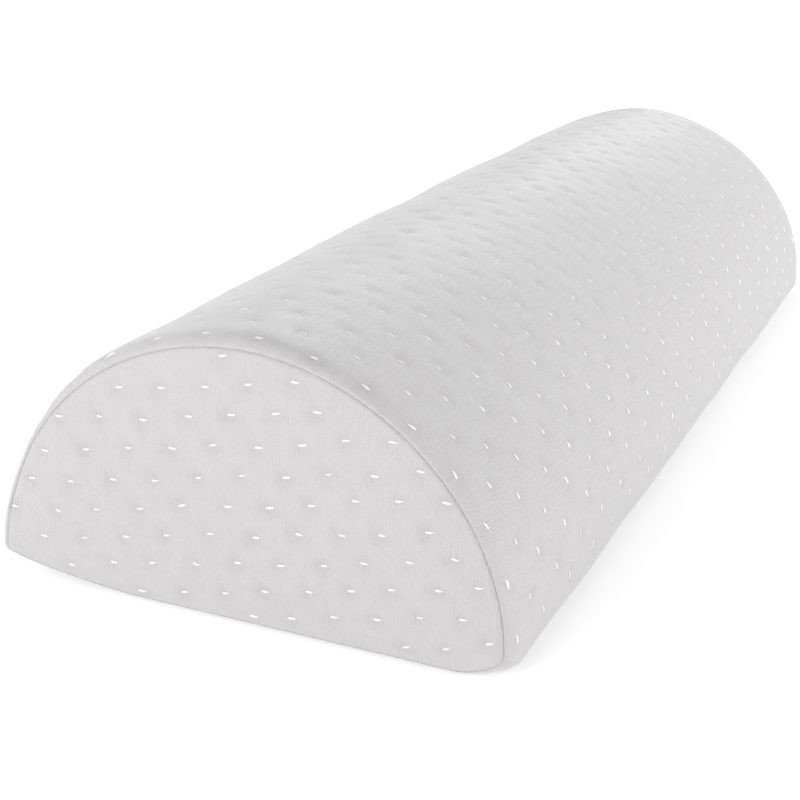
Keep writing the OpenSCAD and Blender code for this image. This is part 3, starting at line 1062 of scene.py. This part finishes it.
def knit_material():
    m = Nodes("knit")
    cloth = m.cloth()
    parts = m.split(cloth)
    wander = m.noise(m.scaled(cloth, 0.35, 0.12), 1.0, 2.0)
    u = m.plus(parts[0], m.times(wander, 1.6))
    v = m.plus(parts[1], m.times(wander, 0.9))
    ribs = m.math("SINE", m.times(u, 2 * math.pi / 1.15))
    loops = m.math("SINE", m.times(v, 2 * math.pi / 0.95))
    streaks = m.noise(m.scaled(cloth, 1.9, 0.38), 1.0, 4.0, 0.6)
    fuzz = m.noise(cloth, 3.2, 3.0, 0.65)
    height = m.plus(m.times(ribs, 0.12), m.times(loops, 0.07))
    height = m.plus(height, m.times(streaks, 1.15))
    height = m.plus(height, m.times(fuzz, 0.5))
    normal = m.bump(height, 0.85, 0.0004)
    broad = m.noise(cloth, 0.055, 3.0, 0.5)
    warm = m.noise(cloth, 0.03, 2.0, 0.5)
    base = m.mix(warm, (0.490, 0.479, 0.475), (0.480, 0.471, 0.484))
    base = m.mix(m.times(m.math("SUBTRACT", broad, 0.35), 0.55), base, (0.43, 0.42, 0.425))
    # painted shade: the knit's colour darkens towards the middle of each dimple round a satin dash, where
    # shade falls
    dimple = m.add("ShaderNodeAttribute", attribute_name="dimple").outputs["Fac"]
    base = m.mix(m.times(dimple, 0.26), base, (0.34, 0.328, 0.31))
    base = m.mix(m.times(streaks, 0.22), base, (0.64, 0.63, 0.635))
    rough = m.plus(0.78, m.times(fuzz, 0.16))
    return m.set(base, normal, rough, Sheen_Weight=1.0, Sheen_Roughness=0.36, Specular_IOR_Level=0.25)


def satin_material():
    m = Nodes("satin")
    place = m.place()
    grain = m.noise(place, 2600.0, 2.0, 0.6)
    tone = m.noise(place, 140.0, 2.0)
    base = m.mix(tone, (0.90, 0.89, 0.865), (0.85, 0.84, 0.845))
    normal = m.bump(grain, 0.35, 0.0001)
    return m.set(base, normal, 0.42, Sheen_Weight=0.3, Sheen_Roughness=0.3, Specular_IOR_Level=0.6)


def thread_material():
    m = Nodes("thread")
    place = m.place()
    twist = m.add("ShaderNodeTexWave", bands_direction="DIAGONAL")
    m.join(place, twist.inputs["Vector"])
    twist.inputs["Scale"].default_value = 900.0
    twist.inputs["Distortion"].default_value = 1.5
    normal = m.bump(twist.outputs["Fac"], 0.5, 0.00012)
    base = m.mix(m.noise(place, 90.0), (0.80, 0.80, 0.81), (0.70, 0.69, 0.70))
    return m.set(base, normal, 0.55, Sheen_Weight=0.25, Sheen_Roughness=0.4)


def tricot_material():
    m = Nodes("tricot")
    cloth = m.cloth()
    weave = m.add("ShaderNodeTexWave", bands_direction="X")
    m.join(cloth, weave.inputs["Vector"])
    weave.inputs["Scale"].default_value = 0.55
    weave.inputs["Distortion"].default_value = 2.5
    normal = m.bump(weave.outputs["Fac"], 0.4, 0.0002)
    base = m.mix(m.noise(cloth, 0.06), (0.86, 0.86, 0.85), (0.80, 0.80, 0.79))
    return m.set(base, normal, 0.8, Sheen_Weight=0.3, Sheen_Roughness=0.5)


def foam_material():
    m = Nodes("foam")
    place = m.place()
    cells = m.add("ShaderNodeTexVoronoi", feature="F1")
    m.join(place, cells.inputs["Vector"])
    cells.inputs["Scale"].default_value = 900.0
    normal = m.bump(cells.outputs["Distance"], 0.6, 0.0006)
    base = m.mix(m.noise(place, 30.0), (0.90, 0.85, 0.70), (0.84, 0.78, 0.62))
    base = m.mix(m.times(cells.outputs["Distance"], 0.5), base, (0.72, 0.66, 0.50))
    return m.set(base, normal, 0.95, Specular_IOR_Level=0.2)


def tape_material():
    m = Nodes("tape")
    cloth = m.cloth()
    parts = m.split(cloth)
    cross = m.math("SINE", m.times(parts[1], 2 * math.pi / 0.7))
    length = m.math("SINE", m.times(parts[0], 2 * math.pi / 0.9))
    height = m.plus(cross, m.times(length, 0.7))
    normal = m.bump(height, 0.5, 0.00012)
    base = m.mix(m.noise(cloth, 0.12), (0.84, 0.84, 0.83), (0.76, 0.76, 0.76))
    return m.set(base, normal, 0.7, Sheen_Weight=0.2, Sheen_Roughness=0.5)


def nylon_material():
    m = Nodes("nylon")
    place = m.place()
    base = m.mix(m.noise(place, 60.0), (0.90, 0.90, 0.90), (0.82, 0.82, 0.81))
    normal = m.bump(m.noise(place, 1500.0), 0.15, 0.0001)
    return m.set(base, normal, 0.32, Specular_IOR_Level=0.5)


def enamel_material():
    m = Nodes("enamel")
    place = m.place()
    base = m.mix(m.noise(place, 250.0, 3.0), (0.84, 0.84, 0.85), (0.78, 0.78, 0.79))
    peel = m.bump(m.noise(place, 1800.0, 2.0), 0.18, 0.0001)
    rough = m.plus(0.24, m.times(m.noise(place, 500.0), 0.16))
    return m.set(base, peel, rough, Coat_Weight=0.4, Coat_Roughness=0.15)


def label_material():
    m = Nodes("label")
    cloth = m.cloth()
    parts = m.split(cloth)
    lines = m.math("SINE", m.times(parts[1], 2 * math.pi / 0.45))
    normal = m.bump(lines, 0.3, 0.0001)
    base = m.mix(m.noise(cloth, 0.2), (0.93, 0.93, 0.93), (0.88, 0.88, 0.88))
    return m.set(base, normal, 0.45, Sheen_Weight=0.2)


MATERIALS = {
    "knit": knit_material(), "satin": satin_material(), "thread": thread_material(),
    "tricot": tricot_material(), "foam": foam_material(), "tape": tape_material(),
    "nylon": nylon_material(), "enamel": enamel_material(), "label": label_material(),
}


# ---- studio -----------------------------------------------------------------------------
# the studio sweep: the radius of its flat floor, of its bend, and its height
SWEEP_FLAT = 2.8
SWEEP_BEND = 1.2
SWEEP_TOP = 1.7
# how strongly the sweep glows under the pillow and far from it, and where it changes
FLOOR_GLOW = 0.24
FAR_GLOW = 0.47
GLOW_FROM = 0.3
GLOW_TO = 1.2
WORLD_LIGHT = 0.55
FRONT_WATTS = 11.5
SIDE_WATTS = 20.0
BACK_WATTS = 8.5


def make_floor():
    """A pale round sweep that glows a little as painted light: its emission lights the pillow though it
    is no lamp.
    """
    m = Nodes("floor")
    tone = m.mix(m.noise(m.place(), 1.5), (0.93, 0.93, 0.93), (0.925, 0.925, 0.93))
    m.set(tone, None, 0.9, Specular_IOR_Level=0.1, Emission_Color=(1.0, 1.0, 1.0, 1.0))
    away = m.add("ShaderNodeVectorMath", operation="LENGTH")
    m.join(m.place(), away.inputs[0])
    ramp = m.add("ShaderNodeMapRange", interpolation_type="SMOOTHSTEP")
    m.join(away.outputs["Value"], ramp.inputs["Value"])
    ramp.inputs["From Min"].default_value = GLOW_FROM
    ramp.inputs["From Max"].default_value = GLOW_TO
    ramp.inputs["To Min"].default_value = FLOOR_GLOW
    ramp.inputs["To Max"].default_value = FAR_GLOW
    # painted light: the emission rises from FLOOR_GLOW under the pillow to FAR_GLOW far from it
    m.join(ramp.outputs["Result"], m.shader.inputs["Emission Strength"])
    bend = np.radians(np.linspace(0, 90, 13))
    outside = SWEEP_FLAT + SWEEP_BEND
    radius = np.concatenate([[0.4, 1.2], SWEEP_FLAT + SWEEP_BEND * np.sin(bend), [outside]])
    height = np.concatenate([[0, 0], SWEEP_BEND * (1 - np.cos(bend)), [SWEEP_TOP]]) - 0.02 * MM
    round_it = np.linspace(0, 2 * math.pi, 96, endpoint=False)
    a, k = np.meshgrid(round_it, np.arange(len(radius)), indexing="ij")
    points = np.stack([radius[k] * np.cos(a), radius[k] * np.sin(a), height[k]], -1)
    quads = grid_faces(len(round_it), len(radius), True)
    middle = [n * len(radius) for n in range(len(round_it))]
    floor = new_object("floor", points, quads.tolist() + [middle])
    floor.data.materials.append(m.material)


def area_light(name, place, target, size, watts):
    data = bpy.data.lights.new(name, "AREA")
    data.size = size
    data.energy = watts
    lamp = bpy.data.objects.new(name, data)
    lamp.location = place
    lamp.rotation_mode = "QUATERNION"
    lamp.rotation_quaternion = (Vector(target) - Vector(place)).to_track_quat("-Z", "Y")
    bpy.context.scene.collection.objects.link(lamp)


def make_light():
    world = bpy.data.worlds.new("studio")
    world.use_nodes = True
    background = world.node_tree.nodes["Background"]
    background.inputs["Color"].default_value = (1.0, 0.995, 0.998, 1.0)
    background.inputs["Strength"].default_value = WORLD_LIGHT
    bpy.context.scene.world = world
    bpy.context.scene.view_settings.view_transform = "Standard"
    area_light("front", (-1.55, 0.3, 0.6), (-0.2, 0, 0.05), 0.8, FRONT_WATTS)
    area_light("side", (0.7, -1.6, 0.22), (0.15, 0, 0.04), 0.35, SIDE_WATTS)
    area_light("back", (0.1, 1.7, 0.5), (0.0, 0, 0.06), 0.8, BACK_WATTS)


CAM_AZIMUTH = math.radians(-66.86)
CAM_ELEVATION = math.radians(20.22)
CAM_ROLL = math.radians(1.23)
CAM_DISTANCE = 0.7713
CAM_TARGET = Vector((0, 0.05196, -0.01069))
CAM_LENS = 68.76


def make_camera():
    flat = math.cos(CAM_ELEVATION)
    back = Vector((math.sin(CAM_AZIMUTH) * flat, -math.cos(CAM_AZIMUTH) * flat, math.sin(CAM_ELEVATION)))
    right = (-back).cross(Vector((0, 0, 1))).normalized()
    up = back.cross(right).normalized()
    level = Matrix((right, up, back)).transposed()
    data = bpy.data.cameras.new("camera")
    data.lens = CAM_LENS
    data.sensor_width = 36
    camera = bpy.data.objects.new("camera", data)
    bpy.context.scene.collection.objects.link(camera)
    camera.matrix_world = (Matrix.Translation(CAM_TARGET + back * CAM_DISTANCE)
                           @ level.to_4x4() @ Matrix.Rotation(CAM_ROLL, 4, "Z"))
    bpy.context.scene.camera = camera


make_camera()
make_light()
make_floor()
make_wrap()
make_panels()
make_seams()
make_foam()
make_liner_wrap()
make_liner_ends()
make_liner_seams()
make_coils()
make_tapes()
make_label()
make_topstitch()
make_bar_tacks()
make_stops()
finish_slider()
